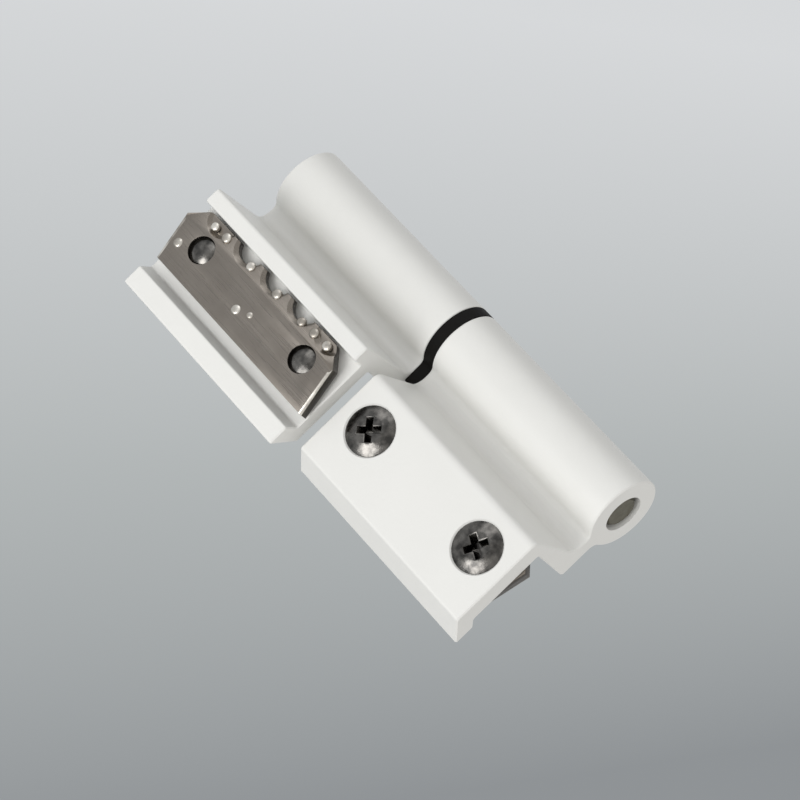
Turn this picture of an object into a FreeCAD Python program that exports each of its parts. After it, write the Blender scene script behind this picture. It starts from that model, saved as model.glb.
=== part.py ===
import FreeCAD, Part
import os
import Sketcher

# Two-leaf barrel hinge for a door of aluminium profile, in millimetres.
# The pin axis is Z, and the origin lies on it, half way through the black spacer.
# X points from the barrel to the two wings, and -Y is the side that the screw heads face.
# The hinge is folded shut: both wings lie side by side on the same side of the barrel.

doc = FreeCAD.newDocument("door_hinge")
sizes = doc.addObject("Spreadsheet::Sheet", "Sizes")

# Driving dimensions. Heights are measured from the pin axis towards -Y.
DIMENSIONS = [
    ("barrel_radius", 11.0, "outside of both halves of the barrel"),
    ("bore_radius", 5.7, "bore through both leaves"),
    ("pin_radius", 5.0, "hinge pin"),
    ("leaf_length", 67.5, "each leaf, along the pin"),
    ("spacer_thickness", 3.6, "between the two halves of the barrel"),
    ("spacer_reach", 17.6, "end of the spacer's neck, from the pin axis"),
    ("pin_recess", 0.7, "pin end below each end of the barrel"),
    ("pin_chamfer", 0.8, "both ends of the pin"),
    ("running_clearance", 0.05, "between the pin and what turns on it"),
    ("grip_clearance", 0.02, "left between pieces that grip each other"),
    ("neck_front", 3.8, "height of the neck's front face"),
    ("neck_back", 1.0, "neck's back face, behind the pin axis"),
    ("neck_fillet", 2.6, "where the neck leaves the barrel"),
    ("web_foot", 16.0, "foot of the web, from the pin axis"),
    ("valley_fillet", 3.6, "between neck and web"),
    ("wing_width", 53.8, "outer edge of a wing at its leg tips"),
    ("wing_slant", 5.2, "from there in to the outer edge of the wing's face"),
    ("leg_width", 6.4, "outer leg at its tip"),
    ("leg_lean", 1.8, "from there in to the foot of the leg's inner side"),
    ("leg_depth", 9.6, "from a wing's face to its leg tips"),
    ("lower_wall", 5.2, "thickness of the lower wing between its legs"),
    ("corner_radius", 1.0, "long outer corners of a wing"),
    ("tip_radius", 0.6, "corners of the leg tips"),
    ("channel_radius", 0.8, "corners of the channel's floor"),
    ("end_chamfer", 0.35, "edges of the sawn ends"),
    ("upper_face", 24.3, "height of the upper wing's face"),
    ("upper_shoulder", 20.5, "barrel-side edge of the upper wing's face"),
    ("upper_shoulder_radius", 2.4, "rounding of that edge"),
    ("upper_web_back", 22.7, "back of the upper web, which lies on the door profile"),
    ("upper_wall", 6.5, "thickness of the upper wing beside its leg"),
    ("lower_face", 21.2, "height of the lower wing's face"),
    ("lower_web_back", 22.3, "channel side of the lower web"),
    ("lower_web_tip", 4.8, "thickness of the lower web at its tip"),
    ("screw_place", 32.2, "clamp screws, from the pin axis"),
    ("screw_inset", 10.95, "clamp screws, from the ends of their leaf"),
    ("screw_radius", 4.0, "clamp screw shank"),
    ("screw_head_radius", 7.4, "clamp screw head"),
    ("screw_head_sink", 0.1, "head below the wing's face"),
    ("screw_length", 10.3, "clamp screw over all"),
    ("hole_clearance", 0.4, "around the shank in the leaf"),
    ("seat_clearance", 0.05, "around the head and in threads"),
    ("recess_width", 1.9, "arm of the cross recess"),
    ("recess_span", 8.2, "cross recess from tip to tip"),
    ("recess_depth", 2.6, "cross recess"),
    ("clamp_reach", 10.5, "from a wing's face to the clamp plate's outer face"),
    ("clamp_thickness", 3.7, "clamp plate"),
    ("clamp_overhang", 0.65, "clamp plate, beyond each end of its leaf"),
    ("clamp_near_edge", 23.1, "toothed edge, from the pin axis"),
    ("clamp_far_inset", 11.5, "straight edge, from the outer edge of the wing"),
    ("clamp_corner", 5.0, "45 degree corners of the toothed side"),
    ("clamp_rake", 2.9, "slant of both ends, up to the corner"),
    ("clamp_strip", 6.4, "sloping strip along the toothed edge"),
    ("clamp_strip_fall", 0.8, "fall of that strip"),
    ("notch_radius", 5.0, "scallops between the teeth"),
    ("notch_offset", 2.0, "scallop centres, outside the toothed edge"),
    ("notch_pitch", 12.2, "scallops and hollows, along the edge"),
    ("notch_count", 3, "scallops"),
    ("hollow_count", 5, "sloping hollows, round the scallops and beyond them"),
    ("notch_chamfer", 0.8, "slope round each scallop"),
    ("bush_inset", 2.6, "each end of a bush below the end of its bore"),
    ("grub_radius", 2.5, "screw that locks the pin"),
    ("grub_sink", 0.6, "grub screw below the barrel's surface"),
    ("grub_socket", 2.5, "hexagon socket, across flats"),
    ("grub_socket_depth", 2.2, "hexagon socket"),
    ("grub_height", 33.2, "grub screw, from the lower end of the lower leaf"),
    ("pin_groove_depth", 0.5, "groove in the pin that the grub screw enters"),
]

# Sizes that follow from those above: the plates are cut to suit the leaves
FOLLOWING = [
    ("screw_spacing", "=leaf_length - 2 * screw_inset", "between the two clamp screws of a leaf"),
    ("clamp_length", "=leaf_length + 2 * clamp_overhang", "clamp plate, along the pin"),
    ("clamp_far_edge", "=wing_width - clamp_far_inset", "straight edge, from the pin axis"),
]

for row, (alias, content, meaning) in enumerate(DIMENSIONS + FOLLOWING, start=1):
    sizes.set("A%d" % row, meaning)
    sizes.set("B%d" % row, str(content))
    sizes.setAlias("B%d" % row, alias)
doc.recompute()


def value(expression):
    """The number that an expression of sheet values gives."""
    result = sizes.evalExpression(expression)
    return float(getattr(result, "Value", result))


def new_body(label):
    body = doc.addObject("PartDesign::Body", label)
    body.Label = label
    return body


def new_sketch(body, name, plane, lift="0"):
    """A sketch on one of the body's own planes, lifted along that plane's normal."""
    origin_plane = next(f for f in body.Origin.OriginFeatures if f.Role == plane)
    sketch = body.newObject("Sketcher::SketchObject", name)
    sketch.AttachmentSupport = [(origin_plane, "")]
    sketch.MapMode = "FlatFace"
    sketch.setExpression("AttachmentOffset.Base.z", lift)
    return sketch


def pin_down(sketch, geometry, vertex, across, along):
    """Bind one point of a sketch to a pair of sheet expressions."""
    for kind, axis, expression in (("DistanceX", -2, across), ("DistanceY", -1, along)):
        if expression == "0":
            sketch.addConstraint(Sketcher.Constraint("PointOnObject", geometry, vertex, axis))
            continue
        constraint = Sketcher.Constraint(kind, -1, 1, geometry, vertex, value(expression))
        index = sketch.addConstraint(constraint)
        sketch.setExpression("Constraints[%d]" % index, expression)


def draw_polygon(sketch, corners):
    """A closed outline of straight lines through corners given as expressions."""
    spots = [FreeCAD.Vector(value(x), value(y), 0) for x, y in corners]
    first = len(sketch.Geometry)
    for start, end in zip(spots, spots[1:] + spots[:1]):
        sketch.addGeometry(Part.LineSegment(start, end))
    for step, (x, y) in enumerate(corners):
        line = first + step
        following = first + (step + 1) % len(corners)
        sketch.addConstraint(Sketcher.Constraint("Coincident", line, 2, following, 1))
        pin_down(sketch, line, 1, x, y)


def draw_circle(sketch, x, y, radius):
    centre = FreeCAD.Vector(value(x), value(y), 0)
    circle = sketch.addGeometry(Part.Circle(centre, FreeCAD.Vector(0, 0, 1), value(radius)))
    if x == "0" and y == "0":
        sketch.addConstraint(Sketcher.Constraint("Coincident", circle, 3, -1, 1))
    else:
        pin_down(sketch, circle, 3, x, y)
    index = sketch.addConstraint(Sketcher.Constraint("Radius", circle, value(radius)))
    sketch.setExpression("Constraints[%d]" % index, radius)


def add_pad(body, name, sketch, length):
    pad = body.newObject("PartDesign::Pad", name)
    pad.Profile = sketch
    pad.setExpression("Length", length)
    doc.recompute()
    return pad


def add_cut(body, name, sketch, depth=None, draft=None, both=False):
    """A pocket of a given depth, or through everything, that must take material away."""
    doc.recompute()
    before = body.Shape.Volume
    pocket = body.newObject("PartDesign::Pocket", name)
    pocket.Profile = sketch
    pocket.Midplane = both
    if draft is not None:
        pocket.setExpression("TaperAngle", "-(%s)" % draft)
    if depth is None:
        pocket.Type = "ThroughAll"
    else:
        pocket.setExpression("Length", depth)
    doc.recompute()
    if body.Shape.Volume >= before:
        raise RuntimeError(name + " cuts nothing")
    return pocket


def add_revolution(body, name, sketch):
    turned = body.newObject("PartDesign::Revolution", name)
    turned.Profile = sketch
    turned.ReferenceAxis = (sketch, ["V_Axis"])
    turned.Angle = 360
    doc.recompute()
    return turned


SAME_PLACE = 0.01  # two spots closer than this are one


def long_edges(shape, corners):
    """Names of the edges along Z that stand on the given corners."""
    names = []
    for x, y in corners:
        for number, edge in enumerate(shape.Edges, start=1):
            ends = [vertex.Point for vertex in edge.Vertexes]
            if len(ends) == 2 and all(abs(p.x - x) + abs(p.y - y) < SAME_PLACE for p in ends):
                names.append("Edge%d" % number)
    return names


def round_edges(body, name, names, radius):
    """Round the named edges of the body as it is so far."""
    base = body.Tip
    fillet = body.newObject("PartDesign::Fillet", name)
    fillet.Base = (base, names)
    fillet.setExpression("Radius", radius)
    doc.recompute()
    if not names or not fillet.isValid():
        raise RuntimeError(name + " can't be rounded")
    return fillet


def break_edges(body, name, names, size):
    """Take a 45 degree chamfer off the named edges of the body as it is so far."""
    base = body.Tip
    chamfer = body.newObject("PartDesign::Chamfer", name)
    chamfer.Base = (base, names)
    chamfer.setExpression("Size", size)
    doc.recompute()
    if not chamfer.isValid():
        raise RuntimeError(name + " can't be chamfered")
    return chamfer


def add_holes(body, name, sketch, radius, mouth_radius, reverse=False):
    """Round holes through the body, each with a 90 degree countersunk mouth."""
    doc.recompute()
    before = body.Shape.Volume
    hole = body.newObject("PartDesign::Hole", name)
    hole.Profile = sketch
    hole.DepthType = "ThroughAll"
    hole.Reversed = reverse
    hole.HoleCutType = "Countersink"
    hole.HoleCutCustomValues = True
    hole.setExpression("Diameter", "2 * (%s)" % radius)
    hole.setExpression("HoleCutDiameter", "2 * (%s)" % mouth_radius)
    hole.HoleCutCountersinkAngle = 90
    doc.recompute()
    if body.Shape.Volume >= before:
        raise RuntimeError(name + " cuts nothing")
    return hole


# Corners that both leaves and the spacer share, as heights above the pin axis
NECK_FRONT = "-Sizes.neck_front"
NECK_BACK = "Sizes.neck_back"
LOWER_LEAF_END = "-Sizes.spacer_thickness / 2 - Sizes.leaf_length"
LEAF_MIDDLE = "(Sizes.spacer_thickness + Sizes.leaf_length) / 2"


def barrel_junctions():
    """Where the neck's front and back faces meet the round barrel."""
    radius = value("Sizes.barrel_radius")
    heights = (value(NECK_FRONT), value(NECK_BACK))
    return [((radius ** 2 - height ** 2) ** 0.5, height) for height in heights]


def pad_profile(body, corners, length):
    """The barrel's disc and the outline beside it, drawn out to one length."""
    disc = new_sketch(body, body.Label + "_barrel", "XY_Plane")
    draw_circle(disc, "0", "0", "Sizes.barrel_radius")
    add_pad(body, body.Label + "_barrel_pad", disc, length)
    outline = new_sketch(body, body.Label + "_outline", "XY_Plane")
    draw_polygon(outline, corners)
    add_pad(body, body.Label + "_outline_pad", outline, length)
    junctions = long_edges(body.Shape, barrel_junctions())
    round_edges(body, body.Label + "_neck_fillet", junctions, "Sizes.neck_fillet")


def build_leaf(label, corners, roundings, face, behind):
    """One extruded leaf: half of the barrel, the neck, the web and the wing with its channel."""
    body = new_body(label)
    pad_profile(body, list(corners.values()), "Sizes.leaf_length")
    for name, chosen, radius in roundings:
        spots = [(value(corners[corner][0]), value(corners[corner][1])) for corner in chosen]
        round_edges(body, label + "_" + name, long_edges(body.Shape, spots), radius)

    length = value("Sizes.leaf_length")
    ends = []
    for number, edge in enumerate(body.Shape.Edges, start=1):
        middle = edge.BoundBox.Center.z
        if edge.BoundBox.ZLength < SAME_PLACE and min(abs(middle), abs(middle - length)) < SAME_PLACE:
            ends.append("Edge%d" % number)
    break_edges(body, label + "_sawn_ends", ends, "Sizes.end_chamfer")

    bore = new_sketch(body, label + "_bore", "XY_Plane")
    draw_circle(bore, "0", "0", "Sizes.bore_radius")
    add_cut(body, label + "_bore_pocket", bore, both=True)

    places = new_sketch(body, label + "_screw_places", "XZ_Plane", "-(%s)" % face)
    for side in ("-", "+"):
        along = "Sizes.leaf_length / 2 %s Sizes.screw_spacing / 2" % side
        draw_circle(places, "Sizes.screw_place", along, "Sizes.screw_radius")
    shank = "Sizes.screw_radius + Sizes.hole_clearance"
    mouth = "Sizes.screw_head_radius + Sizes.screw_head_sink + Sizes.seat_clearance"
    add_holes(body, label + "_screw_holes", places, shank, mouth, behind)
    return body


# The outer side of both wings, from the pin axis
FACE_EDGE = "Sizes.wing_width - Sizes.wing_slant"
OUTER_LEG = "Sizes.wing_width - Sizes.leg_width"
OUTER_LEG_FOOT = "%s - Sizes.leg_lean" % OUTER_LEG

# Upper leaf, whose wing's face and screw heads look towards the viewer
UPPER_FACE = "-Sizes.upper_face"
UPPER_FLOOR = "Sizes.upper_wall - Sizes.upper_face"
UPPER_TIPS = "Sizes.leg_depth - Sizes.upper_face"
UPPER_CLAMP = "Sizes.clamp_reach - Sizes.upper_face"

upper_corners = {
    "neck": ("0", NECK_BACK),
    "back": ("Sizes.upper_web_back", NECK_BACK),
    "inner floor": ("Sizes.upper_web_back", UPPER_FLOOR),
    "outer floor": (OUTER_LEG_FOOT, UPPER_FLOOR),
    "outer tip": (OUTER_LEG, UPPER_TIPS),
    "outer edge": ("Sizes.wing_width", UPPER_TIPS),
    "face edge": (FACE_EDGE, UPPER_FACE),
    "shoulder": ("Sizes.upper_shoulder", UPPER_FACE),
    "valley": ("Sizes.web_foot", NECK_FRONT),
    "neck front": ("0", NECK_FRONT),
}
upper_roundings = [
    ("valley", ["valley"], "Sizes.valley_fillet"),
    ("shoulder", ["shoulder"], "Sizes.upper_shoulder_radius"),
    ("corners", ["back", "face edge"], "Sizes.corner_radius"),
    ("tips", ["outer tip", "outer edge"], "Sizes.tip_radius"),
    ("channel", ["inner floor", "outer floor"], "Sizes.channel_radius"),
]
upper_leaf = build_leaf("upper_leaf", upper_corners, upper_roundings, UPPER_FACE, False)
upper_leaf.setExpression("Placement.Base.z", "Sizes.spacer_thickness / 2")

# Lower leaf, whose wing turns its channel towards the viewer
LOWER_FACE = "-Sizes.lower_face"
LOWER_FLOOR = "-Sizes.lower_face - Sizes.lower_wall"
LOWER_TIPS = "-Sizes.lower_face - Sizes.leg_depth"

lower_corners = {
    "neck": ("0", NECK_BACK),
    "back": ("Sizes.lower_web_back", NECK_BACK),
    "face start": ("Sizes.lower_web_back", LOWER_FACE),
    "face edge": (FACE_EDGE, LOWER_FACE),
    "outer edge": ("Sizes.wing_width", LOWER_TIPS),
    "outer tip": (OUTER_LEG, LOWER_TIPS),
    "outer floor": (OUTER_LEG_FOOT, LOWER_FLOOR),
    "inner floor": ("Sizes.lower_web_back", LOWER_FLOOR),
    "inner tip": ("Sizes.lower_web_back", LOWER_TIPS),
    "web tip": ("Sizes.lower_web_back - Sizes.lower_web_tip", LOWER_TIPS),
    "valley": ("Sizes.web_foot", NECK_FRONT),
    "neck front": ("0", NECK_FRONT),
}
lower_roundings = [
    ("valley", ["valley"], "Sizes.valley_fillet"),
    ("corners", ["back", "face edge", "web tip"], "Sizes.corner_radius"),
    ("tips", ["outer edge", "outer tip", "inner tip"], "Sizes.tip_radius"),
    ("channel", ["face start", "outer floor", "inner floor"], "Sizes.channel_radius"),
]
lower_leaf = build_leaf("lower_leaf", lower_corners, lower_roundings, LOWER_FACE, True)
lower_leaf.setExpression("Placement.Base.z", LOWER_LEAF_END)

# Tapped hole of the grub screw, from the bore out through the back of the lower barrel
tapping = new_sketch(lower_leaf, "grub_hole", "XZ_Plane")
draw_circle(tapping, "0", "Sizes.grub_height", "Sizes.grub_radius + Sizes.seat_clearance")
add_cut(lower_leaf, "grub_hole_pocket", tapping)

# Black spacer, cut to the outline of barrel and neck
spacer = new_body("spacer")
spacer_corners = [
    ("0", NECK_BACK),
    ("Sizes.spacer_reach", NECK_BACK),
    ("Sizes.spacer_reach", NECK_FRONT),
    ("0", NECK_FRONT),
]
pad_profile(spacer, spacer_corners, "Sizes.spacer_thickness")
spacer_corner_edges = long_edges(spacer.Shape, [
    (value("Sizes.spacer_reach"), value(NECK_BACK)),
    (value("Sizes.spacer_reach"), value(NECK_FRONT)),
])
round_edges(spacer, "spacer_corners", spacer_corner_edges, "Sizes.tip_radius")
eye = new_sketch(spacer, "spacer_eye", "XY_Plane")
draw_circle(eye, "0", "0", "Sizes.pin_radius + Sizes.running_clearance")
add_cut(spacer, "spacer_eye_pocket", eye, both=True)
spacer.setExpression("Placement.Base.z", "-Sizes.spacer_thickness / 2")

# Hinge pin, a turned steel rod with chamfered ends and a groove for the grub screw's tip
hinge_pin = new_body("hinge_pin")
PIN_TOP = "Sizes.spacer_thickness / 2 + Sizes.leaf_length - Sizes.pin_recess"
PIN_BOTTOM = "-(%s)" % PIN_TOP
GROOVE = "%s + Sizes.grub_height" % LOWER_LEAF_END
GROOVE_ROOT = "Sizes.pin_radius - Sizes.pin_groove_depth"
GROOVE_HALF = "(Sizes.grub_radius + Sizes.running_clearance)"
pin_half = new_sketch(hinge_pin, "pin_half", "XZ_Plane")
draw_polygon(pin_half, [
    ("0", PIN_BOTTOM),
    ("Sizes.pin_radius - Sizes.pin_chamfer", PIN_BOTTOM),
    ("Sizes.pin_radius", "%s + Sizes.pin_chamfer" % PIN_BOTTOM),
    ("Sizes.pin_radius", "%s - %s" % (GROOVE, GROOVE_HALF)),
    (GROOVE_ROOT, "%s - %s" % (GROOVE, GROOVE_HALF)),
    (GROOVE_ROOT, "%s + %s" % (GROOVE, GROOVE_HALF)),
    ("Sizes.pin_radius", "%s + %s" % (GROOVE, GROOVE_HALF)),
    ("Sizes.pin_radius", "%s - Sizes.pin_chamfer" % PIN_TOP),
    ("Sizes.pin_radius - Sizes.pin_chamfer", PIN_TOP),
    ("0", PIN_TOP),
])
add_revolution(hinge_pin, "pin_turned", pin_half)


def build_bush(label, bottom, clearance):
    """Plain bush that fills the bore of one leaf and takes the pin with the given clearance."""
    body = new_body(label)
    ring = new_sketch(body, label + "_ring", "XY_Plane")
    draw_circle(ring, "0", "0", "Sizes.bore_radius - Sizes.grip_clearance")
    draw_circle(ring, "0", "0", "Sizes.pin_radius + %s" % clearance)
    add_pad(body, label + "_pad", ring, "Sizes.leaf_length - 2 * Sizes.bush_inset")
    body.setExpression("Placement.Base.z", bottom)
    return body


# One bush in each leaf: the lower one grips the pin, and the upper one turns on it
BUSH_START = "Sizes.spacer_thickness / 2 + Sizes.bush_inset"
lower_bush = build_bush(
    "lower_bush", "%s + Sizes.bush_inset" % LOWER_LEAF_END, "Sizes.grip_clearance")
build_bush("upper_bush", BUSH_START, "Sizes.running_clearance")

# Hole in the lower bush that lets the grub screw through to the pin
window = new_sketch(lower_bush, "bush_window", "XZ_Plane")
window_height = "Sizes.grub_height - Sizes.bush_inset"
draw_circle(window, "0", window_height, "Sizes.grub_radius + Sizes.seat_clearance")
add_cut(lower_bush, "bush_window_pocket", window)


def lay_outwards(body, towards_back, x, y, z):
    """Turn a piece's own Z to the viewer (-Y) or to the back (+Y), and set its place."""
    turn = -90 if towards_back else 90
    body.Placement = FreeCAD.Placement(
        FreeCAD.Vector(0, 0, 0), FreeCAD.Rotation(FreeCAD.Vector(1, 0, 0), turn))
    for axis, expression in (("x", x), ("y", y), ("z", z)):
        if expression != "0":
            body.setExpression("Placement.Base." + axis, expression)


# Grub screw, in the back of the lower barrel, its tip in the pin's groove
GRUB_LENGTH = "Sizes.barrel_radius - Sizes.grub_sink - (%s)" % GROOVE_ROOT
grub = new_body("pin_grub_screw")
grub_half = new_sketch(grub, "grub_half", "XZ_Plane")
draw_polygon(grub_half, [
    ("0", "0"),
    ("Sizes.grub_radius", "0"),
    ("Sizes.grub_radius", "-(%s)" % GRUB_LENGTH),
    ("0", "-(%s)" % GRUB_LENGTH),
])
add_revolution(grub, "grub_turned", grub_half)
socket = new_sketch(grub, "grub_socket", "XY_Plane")
CORNER = "Sizes.grub_socket / sqrt(3)"
draw_polygon(socket, [
    (CORNER, "0"),
    ("%s / 2" % CORNER, "Sizes.grub_socket / 2"),
    ("-(%s) / 2" % CORNER, "Sizes.grub_socket / 2"),
    ("-(%s)" % CORNER, "0"),
    ("-(%s) / 2" % CORNER, "-Sizes.grub_socket / 2"),
    ("%s / 2" % CORNER, "-Sizes.grub_socket / 2"),
])
add_cut(grub, "grub_socket_pocket", socket, "Sizes.grub_socket_depth")
lay_outwards(grub, True, "0", "Sizes.barrel_radius - Sizes.grub_sink", GROOVE)


def build_clamp_plate(label, towards_back, y, z):
    """Steel plate with one toothed edge, drawn up against the profile by its two screws."""
    body = new_body(label)
    half = "Sizes.clamp_length / 2"
    outline = new_sketch(body, label + "_outline", "XY_Plane")
    draw_polygon(outline, [
        ("Sizes.clamp_near_edge", "Sizes.clamp_corner - %s" % half),
        ("Sizes.clamp_near_edge + Sizes.clamp_corner", "-%s" % half),
        ("Sizes.clamp_far_edge", "Sizes.clamp_rake - %s" % half),
        ("Sizes.clamp_far_edge", half),
        ("Sizes.clamp_near_edge + Sizes.clamp_corner", "%s - Sizes.clamp_rake" % half),
        ("Sizes.clamp_near_edge", "%s - Sizes.clamp_rake - Sizes.clamp_corner" % half),
    ])
    pad = add_pad(body, label + "_pad", outline, "Sizes.clamp_thickness")
    pad.Reversed = True

    strip = new_sketch(body, label + "_strip", "XZ_Plane")
    draw_polygon(strip, [
        ("Sizes.clamp_near_edge - Sizes.clamp_strip", "0"),
        ("Sizes.clamp_near_edge + Sizes.clamp_strip", "0"),
        ("Sizes.clamp_near_edge", "-Sizes.clamp_strip_fall"),
        ("Sizes.clamp_near_edge - Sizes.clamp_strip", "-Sizes.clamp_strip_fall"),
    ])
    add_cut(body, label + "_strip_pocket", strip, both=True)

    slope = "Sizes.notch_chamfer + Sizes.clamp_strip_fall"
    for name, count, spread, depth, draft in (
        ("hollow", "Sizes.hollow_count", slope, slope, "45"),
        ("scallop", "Sizes.notch_count", "0", None, None),
    ):
        ring = new_sketch(body, "%s_%s" % (label, name), "XY_Plane")
        span = "Sizes.notch_pitch * (%s - 1)" % count
        across = "Sizes.clamp_near_edge - Sizes.notch_offset"
        draw_circle(ring, across, "-%s / 2" % span, "Sizes.notch_radius + %s" % spread)
        first = add_cut(body, "%s_%s_pocket" % (label, name), ring, depth, draft, not depth)
        row = body.newObject("PartDesign::LinearPattern", "%s_%s_row" % (label, name))
        row.Originals = [first]
        row.Direction = (ring, ["V_Axis"])
        row.setExpression("Length", span)
        row.setExpression("Occurrences", count)
        body.Tip = row
        doc.recompute()

    places = new_sketch(body, label + "_screw_places", "XY_Plane")
    for side in ("-", ""):
        along = side + "Sizes.screw_spacing / 2"
        draw_circle(places, "Sizes.screw_place", along, "Sizes.screw_radius + Sizes.seat_clearance")
    add_cut(body, label + "_tapped_holes", places, both=True)
    lay_outwards(body, towards_back, "0", y, z)
    return body


LOWER_CLAMP = "-Sizes.lower_face - Sizes.clamp_reach"
build_clamp_plate("upper_clamp_plate", True, UPPER_CLAMP, LEAF_MIDDLE)
build_clamp_plate("lower_clamp_plate", False, LOWER_CLAMP, "-%s" % LEAF_MIDDLE)


def build_clamp_screw(label, towards_back, y, z):
    """Countersunk screw with a cross recess, through a wing and into its clamp plate."""
    body = new_body(label)
    half = new_sketch(body, label + "_half", "XZ_Plane")
    neck = "-(Sizes.screw_head_radius - Sizes.screw_radius)"
    draw_polygon(half, [
        ("0", "0"),
        ("Sizes.screw_head_radius", "0"),
        ("Sizes.screw_radius", neck),
        ("Sizes.screw_radius", "-Sizes.screw_length"),
        ("0", "-Sizes.screw_length"),
    ])
    add_revolution(body, label + "_turned", half)
    for number, (wide, high) in enumerate((("span", "width"), ("width", "span")), start=1):
        arm = new_sketch(body, "%s_arm_%d" % (label, number), "XY_Plane")
        across = "Sizes.recess_%s / 2" % wide
        along = "Sizes.recess_%s / 2" % high
        draw_polygon(arm, [
            ("-" + across, "-" + along),
            (across, "-" + along),
            (across, along),
            ("-" + across, along),
        ])
        add_cut(body, "%s_arm_pocket_%d" % (label, number), arm, "Sizes.recess_depth")
    lay_outwards(body, towards_back, "Sizes.screw_place", y, z)
    return body


UPPER_HEAD = "Sizes.screw_head_sink - Sizes.upper_face"
LOWER_HEAD = "-Sizes.screw_head_sink - Sizes.lower_face"
for end, side in (("bottom", "-"), ("top", "+")):
    up = "%s %s Sizes.screw_spacing / 2" % (LEAF_MIDDLE, side)
    down = "-%s %s Sizes.screw_spacing / 2" % (LEAF_MIDDLE, side)
    build_clamp_screw("upper_screw_" + end, False, UPPER_HEAD, up)
    build_clamp_screw("lower_screw_" + end, True, LOWER_HEAD, down)

# Every feature must have worked before a shape is written
doc.recompute()
failed = [item.Name for item in doc.Objects if {"Invalid", "Error"} & set(item.State)]
if failed:
    raise RuntimeError("failed features: " + ", ".join(failed))

os.makedirs("parts", exist_ok=True)
for piece in doc.findObjects("PartDesign::Body"):
    shape = piece.Shape
    if shape.isNull() or not shape.isValid() or len(shape.Solids) != 1:
        raise RuntimeError(piece.Label + " is not one valid solid")
    shape.exportStep("parts/%s.step" % piece.Label)
    print(piece.Label, round(shape.Volume), "mm3", len(shape.Faces), "faces")
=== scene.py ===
import math

import bmesh
import bpy
from mathutils import Matrix, Vector


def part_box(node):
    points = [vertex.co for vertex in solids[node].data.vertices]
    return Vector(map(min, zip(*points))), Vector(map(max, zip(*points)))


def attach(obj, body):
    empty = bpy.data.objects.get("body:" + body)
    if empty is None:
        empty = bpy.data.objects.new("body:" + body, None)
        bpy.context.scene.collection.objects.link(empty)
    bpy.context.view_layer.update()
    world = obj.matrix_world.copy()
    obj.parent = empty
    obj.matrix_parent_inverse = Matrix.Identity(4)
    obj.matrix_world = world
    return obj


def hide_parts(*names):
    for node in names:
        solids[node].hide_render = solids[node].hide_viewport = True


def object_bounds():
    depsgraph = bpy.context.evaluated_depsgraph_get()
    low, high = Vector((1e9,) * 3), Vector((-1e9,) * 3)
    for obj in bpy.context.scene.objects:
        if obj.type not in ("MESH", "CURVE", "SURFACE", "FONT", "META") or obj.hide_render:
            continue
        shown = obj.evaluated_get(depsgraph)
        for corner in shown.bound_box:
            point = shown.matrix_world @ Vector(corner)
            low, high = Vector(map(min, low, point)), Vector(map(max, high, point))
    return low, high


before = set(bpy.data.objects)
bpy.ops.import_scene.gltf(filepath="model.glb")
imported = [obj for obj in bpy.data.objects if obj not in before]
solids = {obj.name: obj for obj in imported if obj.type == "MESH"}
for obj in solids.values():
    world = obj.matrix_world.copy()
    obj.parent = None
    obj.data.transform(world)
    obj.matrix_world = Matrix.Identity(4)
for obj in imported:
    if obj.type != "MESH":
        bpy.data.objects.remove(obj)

solid_low, solid_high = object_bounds()
scene = bpy.context.scene
scene.view_settings.view_transform = "Standard"

# Camera, at the photographer's place: a long lens looks down at 28 degrees on the side
# of the screw heads, and is rolled so far that the pin runs from upper left to lower right.
azimuth = math.radians(-3.07)
elevation = math.radians(27.93)
roll = math.radians(137.06)
towards_camera = Vector((
    math.sin(azimuth) * math.cos(elevation),
    -math.cos(azimuth) * math.cos(elevation),
    math.sin(elevation),
))
level_right = towards_camera.cross(Vector((0, 0, -1))).normalized()
level_up = towards_camera.cross(level_right)
picture_right = math.cos(roll) * level_right + math.sin(roll) * level_up
picture_up = math.cos(roll) * level_up - math.sin(roll) * level_right

lens = bpy.data.cameras.new("camera")
lens.lens = 161.74
lens.sensor_width = 36
lens.clip_start = 0.05
lens.clip_end = 20
camera = bpy.data.objects.new("camera", lens)
scene.collection.objects.link(camera)
camera_distance = 0.96357
camera_right = -0.016162
camera_up = -0.015274
camera_place = (
    camera_distance * towards_camera + camera_right * picture_right + camera_up * picture_up)
turned = Matrix((picture_right, picture_up, towards_camera)).transposed()
camera.matrix_world = Matrix.Translation(camera_place) @ turned.to_4x4()
scene.camera = camera


# Floor, one pale sheet well below the hinge, which shows clear of it in the photograph.
# It is lighter towards the top edge of the picture and darker towards the bottom edge.
def link_up(tree, start, end):
    tree.links.new(start, end)


def add_node(tree, kind, **settings):
    node = tree.nodes.new("ShaderNode" + kind)
    for name, setting in settings.items():
        setattr(node, name, setting)
    return node


def start_finish(name):
    """A new material with its node tree, its shader and the object's own coordinates."""
    finish = bpy.data.materials.new(name)
    finish.use_nodes = True
    tree = finish.node_tree
    place = add_node(tree, "TexCoord").outputs["Object"]
    return finish, tree, tree.nodes["Principled BSDF"], place


def make_piece(name, bm, crease=None):
    """Turn a bmesh into an object, smooth but for edges sharper than the crease in degrees."""
    for face in bm.faces:
        face.smooth = crease is not None
    mesh = bpy.data.meshes.new(name)
    bm.to_mesh(mesh)
    bm.free()
    if crease is not None:
        mesh.set_sharp_from_angle(angle=math.radians(crease))
    piece = bpy.data.objects.new(name, mesh)
    scene.collection.objects.link(piece)
    return piece


floor_height = -0.5
floor_half = 5


def floor_spot(above_middle):
    """Where the camera sees the floor, at a share of the picture's height above its middle."""
    ray = -towards_camera + above_middle * lens.sensor_width / lens.lens * picture_up
    return camera_place + ray * (floor_height - camera_place.z) / ray.z


bm = bmesh.new()
bmesh.ops.create_grid(
    bm, x_segments=1, y_segments=1, size=floor_half,
    matrix=Matrix.Translation((0, 0, floor_height)))
floor = make_piece("floor", bm)

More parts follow.
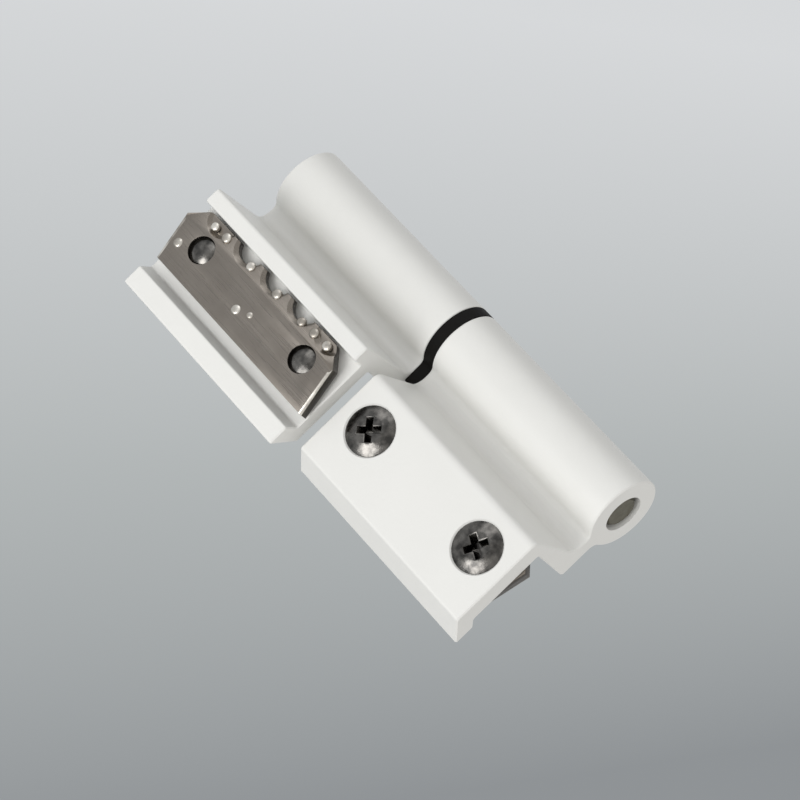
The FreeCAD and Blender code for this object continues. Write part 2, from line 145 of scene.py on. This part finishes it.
floor_paper, tree, shader, place = start_finish("floor_paper")
across = picture_right - towards_camera * picture_right.z / towards_camera.z
fade = Vector((0, 0, 1)).cross(across).normalized()
top_place = floor_spot(0.5).dot(fade)
bottom_place = floor_spot(-0.5).dot(fade)
distance = add_node(tree, "VectorMath", operation="DOT_PRODUCT")
distance.inputs[1].default_value = fade
spread = add_node(tree, "MapRange")
spread.inputs["From Min"].default_value = bottom_place
spread.inputs["From Max"].default_value = top_place
tone = add_node(tree, "ValToRGB")
tone.color_ramp.elements[0].color = (0.292, 0.309, 0.323, 1)
tone.color_ramp.elements[1].color = (0.715, 0.730, 0.745, 1)
middle = tone.color_ramp.elements.new(0.5)
middle.color = (0.470, 0.496, 0.500, 1)
link_up(tree, place, distance.inputs[0])
link_up(tree, distance.outputs["Value"], spread.inputs["Value"])
link_up(tree, spread.outputs["Result"], tone.inputs["Fac"])
link_up(tree, tone.outputs["Color"], shader.inputs["Base Color"])
shader.inputs["Roughness"].default_value = 0.9
shader.inputs["Specular IOR Level"].default_value = 0.1

# Whatever light falls on the paper, the camera and mirroring faces see most of it in its
# own tone, so that the lamps leave no bright patch on it
own_tone_share = 0.8
seen = add_node(tree, "Emission")
link_up(tree, tone.outputs["Color"], seen.inputs["Color"])
rays = add_node(tree, "LightPath")
looks = add_node(tree, "Math", operation="MAXIMUM")
link_up(tree, rays.outputs["Is Camera Ray"], looks.inputs[0])
link_up(tree, rays.outputs["Is Glossy Ray"], looks.inputs[1])
clear = add_node(tree, "Math", operation="MAXIMUM")
link_up(tree, looks.outputs[0], clear.inputs[0])
link_up(tree, rays.outputs["Is Transmission Ray"], clear.inputs[1])
most = add_node(tree, "Math", operation="MULTIPLY")
most.inputs[1].default_value = own_tone_share
link_up(tree, clear.outputs[0], most.inputs[0])
blend = add_node(tree, "MixShader")
link_up(tree, most.outputs[0], blend.inputs["Fac"])
link_up(tree, shader.outputs["BSDF"], blend.inputs[1])
link_up(tree, seen.outputs["Emission"], blend.inputs[2])
link_up(tree, blend.outputs["Shader"], tree.nodes["Material Output"].inputs["Surface"])
floor.data.materials.append(floor_paper)

# Studio light: a large softbox at the left of the picture and an even pale room all round.
# Two weak ones above and below the hinge give reflections only, in coat and bare steel.
room = bpy.data.worlds.new("room")
room.use_nodes = True
scene.world = room
room_light = room.node_tree.nodes["Background"]
room_light.inputs["Color"].default_value = (1.0, 0.995, 0.98, 1)
room_light.inputs["Strength"].default_value = 0.70

hinge_middle = (solid_low + solid_high) / 2


def add_softbox(name, right, up, near, width, height, power):
    """A softbox placed along the picture's own directions, in metres from the hinge."""
    lamp = bpy.data.lights.new(name, "AREA")
    lamp.shape = "RECTANGLE"
    lamp.size = width
    lamp.size_y = height
    lamp.energy = power
    softbox = bpy.data.objects.new(name, lamp)
    scene.collection.objects.link(softbox)
    offset = right * picture_right + up * picture_up + near * towards_camera
    softbox.location = hinge_middle + offset
    softbox.rotation_euler = offset.to_track_quat("Z", "Y").to_euler()
    softbox.visible_camera = False
    return softbox


add_softbox(
    "key_softbox", right=-0.60, up=-0.08, near=0.68, width=0.48, height=0.48, power=4.05)
for name, up, near, width, height, power in (
        ("upper_softbox", 0.42, 0.16, 0.52, 0.22, 0.42),
        ("lower_softbox", -0.50, 0.34, 0.34, 0.16, 0.56)):
    add_softbox(name, 0, up, near, width, height, power).visible_diffuse = False


# Leaves, two lengths of extruded aluminium sawn off and powder coated white. The coat
# has a fine orange peel, and the saw's marks show faintly through it on the ends.
def add_noise(tree, place, size, detail=2.0, stretch=(1, 1, 1)):
    """Noise with grains of about one size in metres, drawn out by the stretch."""
    mapping = add_node(tree, "Mapping")
    mapping.inputs["Scale"].default_value = [1 / (size * amount) for amount in stretch]
    noise = add_node(tree, "TexNoise")
    noise.inputs["Scale"].default_value = 1
    noise.inputs["Detail"].default_value = detail
    link_up(tree, place, mapping.inputs["Vector"])
    link_up(tree, mapping.outputs["Vector"], noise.inputs["Vector"])
    return noise.outputs["Fac"]


def blend_tones(tree, share, dark, light):
    mix = add_node(tree, "Mix", data_type="RGBA")
    mix.inputs[6].default_value = (*dark, 1)
    mix.inputs[7].default_value = (*light, 1)
    link_up(tree, share, mix.inputs["Factor"])
    return mix.outputs[2]


def spread_to(tree, share, low, high, start=0.3, end=0.7):
    """Stretch the part of a share between start and end to run from low to high."""
    spread = add_node(tree, "MapRange")
    spread.inputs["From Min"].default_value = start
    spread.inputs["From Max"].default_value = end
    spread.inputs["To Min"].default_value = low
    spread.inputs["To Max"].default_value = high
    link_up(tree, share, spread.inputs["Value"])
    return spread.outputs["Result"]


def facing(tree, axis, start, end):
    """One where a face looks along an axis at least by the end value, none below the start."""
    parts = add_node(tree, "SeparateXYZ")
    link_up(tree, add_node(tree, "TexCoord").outputs["Normal"], parts.inputs[0])
    lean = add_node(tree, "Math", operation="ABSOLUTE")
    link_up(tree, parts.outputs[axis], lean.inputs[0])
    return spread_to(tree, lean.outputs[0], 0, 1, start, end)


def vary_roughness(tree, shader, share, low, high):
    link_up(tree, spread_to(tree, share, low, high), shader.inputs["Roughness"])


def add_relief(tree, shader, height, depth, before=None):
    """Bump of a real depth in metres, laid over an earlier one if there is one."""
    bump = add_node(tree, "Bump")
    bump.inputs["Strength"].default_value = 1
    bump.inputs["Distance"].default_value = depth
    link_up(tree, height, bump.inputs["Height"])
    if before is not None:
        link_up(tree, before.outputs["Normal"], bump.inputs["Normal"])
    link_up(tree, bump.outputs["Normal"], shader.inputs["Normal"])
    return bump


def dress(node, finish):
    """Give a solid its finish in place of the plain one that it comes with."""
    solids[node].data.materials.clear()
    solids[node].data.materials.append(finish)


powder_coat, tree, shader, place = start_finish("powder_coat")
clouds = add_noise(tree, place, size=0.02, detail=3)
coat_tone = blend_tones(tree, clouds, (0.785, 0.781, 0.754), (0.820, 0.815, 0.789))
link_up(tree, coat_tone, shader.inputs["Base Color"])
vary_roughness(tree, shader, add_noise(tree, place, size=0.004), 0.40, 0.52)
ripples = add_noise(tree, place, size=0.0011, detail=1)
peel = add_relief(tree, shader, ripples, depth=0.00003)
specks = add_noise(tree, place, size=0.00035, detail=1)
grain = add_relief(tree, shader, specks, depth=0.000008, before=peel)
sawn = add_node(tree, "Math", operation="MULTIPLY")
link_up(tree, facing(tree, "Z", 0.95, 0.99), sawn.inputs[0])
link_up(tree, add_noise(tree, place, size=0.0007, stretch=(12, 1, 1)), sawn.inputs[1])
add_relief(tree, shader, sawn.outputs[0], depth=0.00004, before=grain)
for name in ("upper_leaf", "lower_leaf"):
    dress(name, powder_coat)

# Spacer, moulded black polyamide with the leaves' outline, held between their barrels.
# Its skin is matt and finely eroded, as the mould leaves it.
spacer_plastic, tree, shader, place = start_finish("spacer_plastic")
clouds = add_noise(tree, place, size=0.003)
black = blend_tones(tree, clouds, (0.004, 0.004, 0.004), (0.007, 0.006, 0.005))
link_up(tree, black, shader.inputs["Base Color"])
vary_roughness(tree, shader, add_noise(tree, place, size=0.0006), 0.5, 0.65)
shader.inputs["Specular IOR Level"].default_value = 0.1
add_relief(tree, shader, add_noise(tree, place, size=0.00025, detail=1), depth=0.00001)
dress("spacer", spacer_plastic)

# Bushes, plain tubes of the same black polyamide pressed into both bores.
# Only their ends show, down in the ring between pin and barrel.
for name in ("upper_bush", "lower_bush"):
    dress(name, spacer_plastic)

# Hinge pin, bright drawn steel with its ends faced off on the lathe, which leaves fine
# rings round their centres. It has gone slightly brown.
pin_steel, tree, shader, place = start_finish("pin_steel")
tool_feed = 0.00035
flat = add_node(tree, "VectorMath", operation="MULTIPLY")
flat.inputs[1].default_value = (1, 1, 0)
link_up(tree, place, flat.inputs[0])
reach = add_node(tree, "VectorMath", operation="LENGTH")
link_up(tree, flat.outputs["Vector"], reach.inputs[0])
turns = add_node(tree, "Math", operation="MULTIPLY")
turns.inputs[1].default_value = math.tau / tool_feed
link_up(tree, reach.outputs["Value"], turns.inputs[0])
rings = add_node(tree, "Math", operation="SINE")
link_up(tree, turns.outputs[0], rings.inputs[0])
clouds = add_noise(tree, place, size=0.002, detail=3)
steel_tone = blend_tones(tree, clouds, (0.108, 0.102, 0.076), (0.156, 0.148, 0.112))
link_up(tree, steel_tone, shader.inputs["Base Color"])
shader.inputs["Metallic"].default_value = 1
vary_roughness(tree, shader, add_noise(tree, place, size=0.0015), 0.32, 0.5)
add_relief(tree, shader, rings.outputs[0], depth=0.000006)
dress("hinge_pin", pin_steel)

# Clamp plates, stamped from thick steel strip with a row of small raised points beside the
# scallops, which bite into the profile. Their sheared side walls are painted dark: painted
# shade where the walls of the plate and its scallops stand out of the light.
clamp_steel, tree, shader, place = start_finish("clamp_steel")
streaks = add_noise(tree, place, size=0.0004, detail=3, stretch=(1, 1, 30))
stains = add_noise(tree, place, size=0.006, detail=4)
plate_tone = blend_tones(tree, stains, (0.212, 0.188, 0.164), (0.285, 0.258, 0.228))
# Painted shade: faces that look across the plate rather than along Y take this dark tone
painted_wall_shade = blend_tones(tree, stains, (0.050, 0.045, 0.040), (0.085, 0.078, 0.070))
wall_shade_mix = add_node(tree, "Mix", data_type="RGBA")
link_up(tree, facing(tree, "Y", 0.25, 0.6), wall_shade_mix.inputs["Factor"])
link_up(tree, painted_wall_shade, wall_shade_mix.inputs[6])
link_up(tree, plate_tone, wall_shade_mix.inputs[7])
link_up(tree, wall_shade_mix.outputs[2], shader.inputs["Base Color"])
shader.inputs["Metallic"].default_value = 1
vary_roughness(tree, shader, streaks, 0.24, 0.38)
rolled = add_relief(tree, shader, streaks, depth=0.000006)
add_relief(tree, shader, add_noise(tree, place, size=0.0009), depth=0.00001, before=rolled)

# Steel rubbed bright, on the raised points and along the outer edges of the raked ends
worn_steel, tree, shader, place = start_finish("worn_steel")
wear = spread_to(tree, add_noise(tree, place, size=0.005), 0, 1, 0.35, 0.65)
bright = blend_tones(tree, wear, (0.36, 0.33, 0.29), (0.80, 0.77, 0.71))
link_up(tree, bright, shader.inputs["Base Color"])
shader.inputs["Metallic"].default_value = 1
vary_roughness(tree, shader, add_noise(tree, place, size=0.0004), 0.26, 0.4)


merge_gap = 0.000002


def merge_copy(node):
    """A copy of a solid with its loose triangles merged and its flat faces made whole."""
    bm = bmesh.new()
    bm.from_mesh(solids[node].data)
    bmesh.ops.remove_doubles(bm, verts=bm.verts[:], dist=merge_gap)
    bmesh.ops.dissolve_limit(
        bm, angle_limit=math.radians(1), verts=bm.verts[:], edges=bm.edges[:])
    return bm


def round_off(bm, edges, width, clamp=True):
    """Round edges off to a width in metres, and hand back the faces that this makes."""
    return bmesh.ops.bevel(
        bm, geom=edges, offset=width, offset_type="OFFSET", segments=3, profile=0.5,
        affect="EDGES", material=-1, clamp_overlap=clamp)["faces"]


def sharp_edges(bm):
    """Edges where two faces meet at a clear angle, unlike those inside a curved face."""
    sharp = math.radians(25)
    return [e for e in bm.edges if e.is_manifold and e.calc_face_angle() > sharp]


def end_edges(bm, outer):
    """Long edges between a plate's outer face, at this height, and its two raked ends."""
    level = 0.00005
    raked = 0.8
    shortest = 0.008
    chosen = []
    for edge in sharp_edges(bm):
        off = max(abs(vert.co.y - outer) for vert in edge.verts)
        slant = max(abs(face.normal.z) for face in edge.link_faces)
        if off < level and slant > raked and edge.calc_length() > shortest:
            chosen.append(edge)
    return chosen


def turn_round(bm, profile, steps):
    """Spin a half section of (radius, height) pairs round Z into a closed skin."""
    points = [bm.verts.new((radius, 0, height)) for radius, height in profile]
    lines = [bm.edges.new(pair) for pair in zip(points, points[1:])]
    bmesh.ops.spin(
        bm, geom=points + lines, cent=(0, 0, 0), axis=(0, 0, 1), dvec=(0, 0, 0),
        angle=math.tau, steps=steps, use_merge=True)
    bmesh.ops.remove_doubles(bm, verts=bm.verts[:], dist=merge_gap)


end_rounding = 0.0008
edge_rounding = 0.0003
point_foot = -0.0012
point_steps = 24

# Raised points: along the plate from its middle, across from the pin axis, radius, and
# height of the rim above the face
raised_points = [
    (-0.0252, 0.0252, 0.0012, 0.0001), (-0.0201, 0.0251, 0.0014, 0.0001),
    (-0.0085, 0.0255, 0.0013, 0.0), (0.0032, 0.0254, 0.0014, 0.0),
    (0.0145, 0.0256, 0.0013, 0.0), (0.0197, 0.0252, 0.0014, 0.0001),
    (0.0251, 0.0250, 0.0014, 0.0), (-0.0298, 0.0355, 0.0014, 0.0002),
    (-0.0021, 0.0362, 0.0014, 0.0002), (0.0022, 0.0345, 0.0010, 0.00015),
]
for node, body, way in (
        ("upper_clamp_plate", "turning_leaf", -1), ("lower_clamp_plate", "fixed_leaf", 1)):
    low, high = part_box(node)
    outer = high.y if way < 0 else low.y
    bm = merge_copy(node)
    for face in round_off(bm, end_edges(bm, outer), end_rounding, clamp=False):
        face.material_index = 1
    round_off(bm, sharp_edges(bm), edge_rounding)
    for along, across, radius, rise in raised_points:
        dome = bmesh.new()
        profile = [
            (0, point_foot), (radius, point_foot), (radius, rise - 0.0002),
            (radius * 0.88, rise), (radius * 0.6, rise + 0.0001), (0, rise + 0.00014)]
        turn_round(dome, profile, point_steps)
        for face in dome.faces:
            face.material_index = 1
        spot = Vector((across, outer, (low.z + high.z) / 2 + way * along))
        turn = Matrix.Rotation(math.radians(90 * way), 4, "X")
        bmesh.ops.transform(dome, matrix=Matrix.Translation(spot) @ turn, verts=dome.verts[:])
        raised = bpy.data.meshes.new("raised_point")
        dome.to_mesh(raised)
        dome.free()
        bm.from_mesh(raised)
        bpy.data.meshes.remove(raised)
    bmesh.ops.recalc_face_normals(bm, faces=bm.faces[:])
    plate = make_piece(node + "_stamped", bm, crease=35)
    plate.data.materials.append(clamp_steel)
    plate.data.materials.append(worn_steel)
    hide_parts(node)
    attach(plate, body)

# Clamp screws, countersunk M8 of dark burnished steel with a low domed head, a cross
# recess, rolled thread and a domed end. Each pulls a clamp plate towards its leaf.
screw_steel, tree, shader, place = start_finish("screw_steel")
stains = spread_to(tree, add_noise(tree, place, size=0.0024, detail=3), 0, 1, 0.36, 0.64)
screw_tone = blend_tones(tree, stains, (0.060, 0.058, 0.055), (0.170, 0.162, 0.151))
link_up(tree, screw_tone, shader.inputs["Base Color"])
shader.inputs["Metallic"].default_value = 1
vary_roughness(tree, shader, add_noise(tree, place, size=0.0008), 0.17, 0.28)
add_relief(tree, shader, add_noise(tree, place, size=0.0004), depth=0.00001)

head_radius = 0.0074
rim_radius = 0.0071
shank_radius = 0.0034
thread_radius = 0.00395
thread_pitch = 0.00125
dome_radius = 0.0165
dome_edge = 0.0068
recess_land = 0.0038
recess_depth = 0.0036
recess_span = 0.0070
recess_width = 0.0019
end_radius = 0.0095
end_edge = 0.0031
end_point = 0.0009
screw_steps = 64


def cut_cross(bm, height):
    """Close the top of the dome round a cross recess whose walls taper down to its floor."""
    floor_share = 0.62
    mouth_rounding = 0.00022
    rim = [e for e in bm.edges if e.is_boundary]
    half = recess_span / 2
    arm = recess_width / 2
    corners = [
        (half, -arm), (half, arm), (arm, arm), (arm, half), (-arm, half), (-arm, arm),
        (-half, arm), (-half, -arm), (-arm, -arm), (-arm, -half), (arm, -half), (arm, -arm)]
    points = [bm.verts.new((x, y, height)) for x, y in corners]
    outline = [bm.edges.new(pair) for pair in zip(points, points[1:] + points[:1])]
    bmesh.ops.triangle_fill(bm, use_beauty=True, edges=rim + outline)
    walls = bmesh.ops.extrude_edge_only(bm, edges=outline)["geom"]
    low_points = [v for v in walls if isinstance(v, bmesh.types.BMVert)]
    low_lines = [e for e in walls if isinstance(e, bmesh.types.BMEdge)]
    bmesh.ops.scale(bm, vec=(floor_share, floor_share, 1), verts=low_points)
    bmesh.ops.translate(bm, vec=(0, 0, -recess_depth), verts=low_points)
    bmesh.ops.contextual_create(bm, geom=low_lines)
    mouth = [e for e in outline if e.is_valid]
    bmesh.ops.bevel(
        bm, geom=mouth, offset=mouth_rounding, offset_type="OFFSET", segments=2, profile=0.5,
        affect="EDGES", material=-1, clamp_overlap=True)


def wind_thread(bm, low, turns):
    """One V-shaped ridge wound up the shank, a closed tube with its two ends shut."""
    root = shank_radius - 0.0001
    foot = thread_pitch * 0.42
    crest = foot * 0.15
    steps_a_turn = 24
    points = [bm.verts.new(spot) for spot in (
        (root, 0, low - foot), (thread_radius, 0, low - crest),
        (thread_radius, 0, low + crest), (root, 0, low + foot))]
    lines = [bm.edges.new(pair) for pair in zip(points, points[1:] + points[:1])]
    bmesh.ops.contextual_create(bm, geom=lines)
    swept = bmesh.ops.spin(
        bm, geom=points + lines, cent=(0, 0, 0), axis=(0, 0, 1),
        dvec=(0, 0, thread_pitch / steps_a_turn), angle=math.tau * turns,
        steps=round(steps_a_turn * turns))["geom_last"]
    last = [e for e in swept if isinstance(e, bmesh.types.BMEdge)]
    bmesh.ops.contextual_create(bm, geom=last)


def build_screw(node, name, body, head_towards_back, cross_turn):
    """A screw turned about Z with its face at zero, then laid into the place of its node."""
    low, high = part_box(node)
    length = high.y - low.y
    neck = head_radius - shank_radius
    rim_depth = head_radius - rim_radius
    lip = 0.00006
    runout = 0.0003
    dome_foot = math.sqrt(dome_radius ** 2 - dome_edge ** 2)
    dome = [
        (radius, math.sqrt(dome_radius ** 2 - radius ** 2) - dome_foot)
        for radius in (recess_land, 0.0046, 0.0054, 0.0062, dome_edge)]
    end = [
        (radius, end_radius - math.sqrt(end_radius ** 2 - radius ** 2) - length)
        for radius in (end_edge, 0.0024, 0.0016, 0.0008, 0)]
    bm = bmesh.new()
    turn_round(bm, dome + [
        (rim_radius - lip, -2 * lip),
        (rim_radius, -rim_depth),
        (shank_radius + 0.0002, -neck),
        (shank_radius, -neck - runout),
        (shank_radius, end_point + runout - length),
        (thread_radius, end_point - length),
    ] + end, screw_steps)
    cut_cross(bm, dome[0][1])
    thread_start = end_point + 0.0010
    thread_turns = (length - neck - thread_start - 0.0008) / thread_pitch
    wind_thread(bm, thread_start - length, thread_turns)
    bmesh.ops.recalc_face_normals(bm, faces=bm.faces[:])
    quarter = math.radians(-90 if head_towards_back else 90)
    head = high.y if head_towards_back else low.y
    place = Matrix.Translation(((low.x + high.x) / 2, head, (low.z + high.z) / 2))
    turn = Matrix.Rotation(quarter, 4, "X") @ Matrix.Rotation(math.radians(cross_turn), 4, "Z")
    bmesh.ops.transform(bm, matrix=place @ turn, verts=bm.verts[:])
    screw = make_piece(name, bm, crease=32)
    screw.data.materials.append(screw_steel)
    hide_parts(node)
    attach(screw, body)


build_screw("upper_screw_bottom", "upper_screw_lower_end", "turning_leaf", False, 43)
build_screw("upper_screw_top", "upper_screw_outer_end", "turning_leaf", False, 64)
build_screw("lower_screw_bottom", "lower_screw_outer_end", "fixed_leaf", True, 20)
build_screw("lower_screw_top", "lower_screw_inner_end", "fixed_leaf", True, 75)

# Grub screw, a small socket screw of the same dark steel in the back of the lower barrel.
# It stands in the pin's groove and keeps the pin from creeping out.
grub_rounding = 0.00018
bm = merge_copy("pin_grub_screw")
round_off(bm, sharp_edges(bm), grub_rounding)
grub_screw = make_piece("pin_grub_screw_turned", bm, crease=35)
grub_screw.data.materials.append(screw_steel)
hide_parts("pin_grub_screw")
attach(grub_screw, "fixed_leaf")
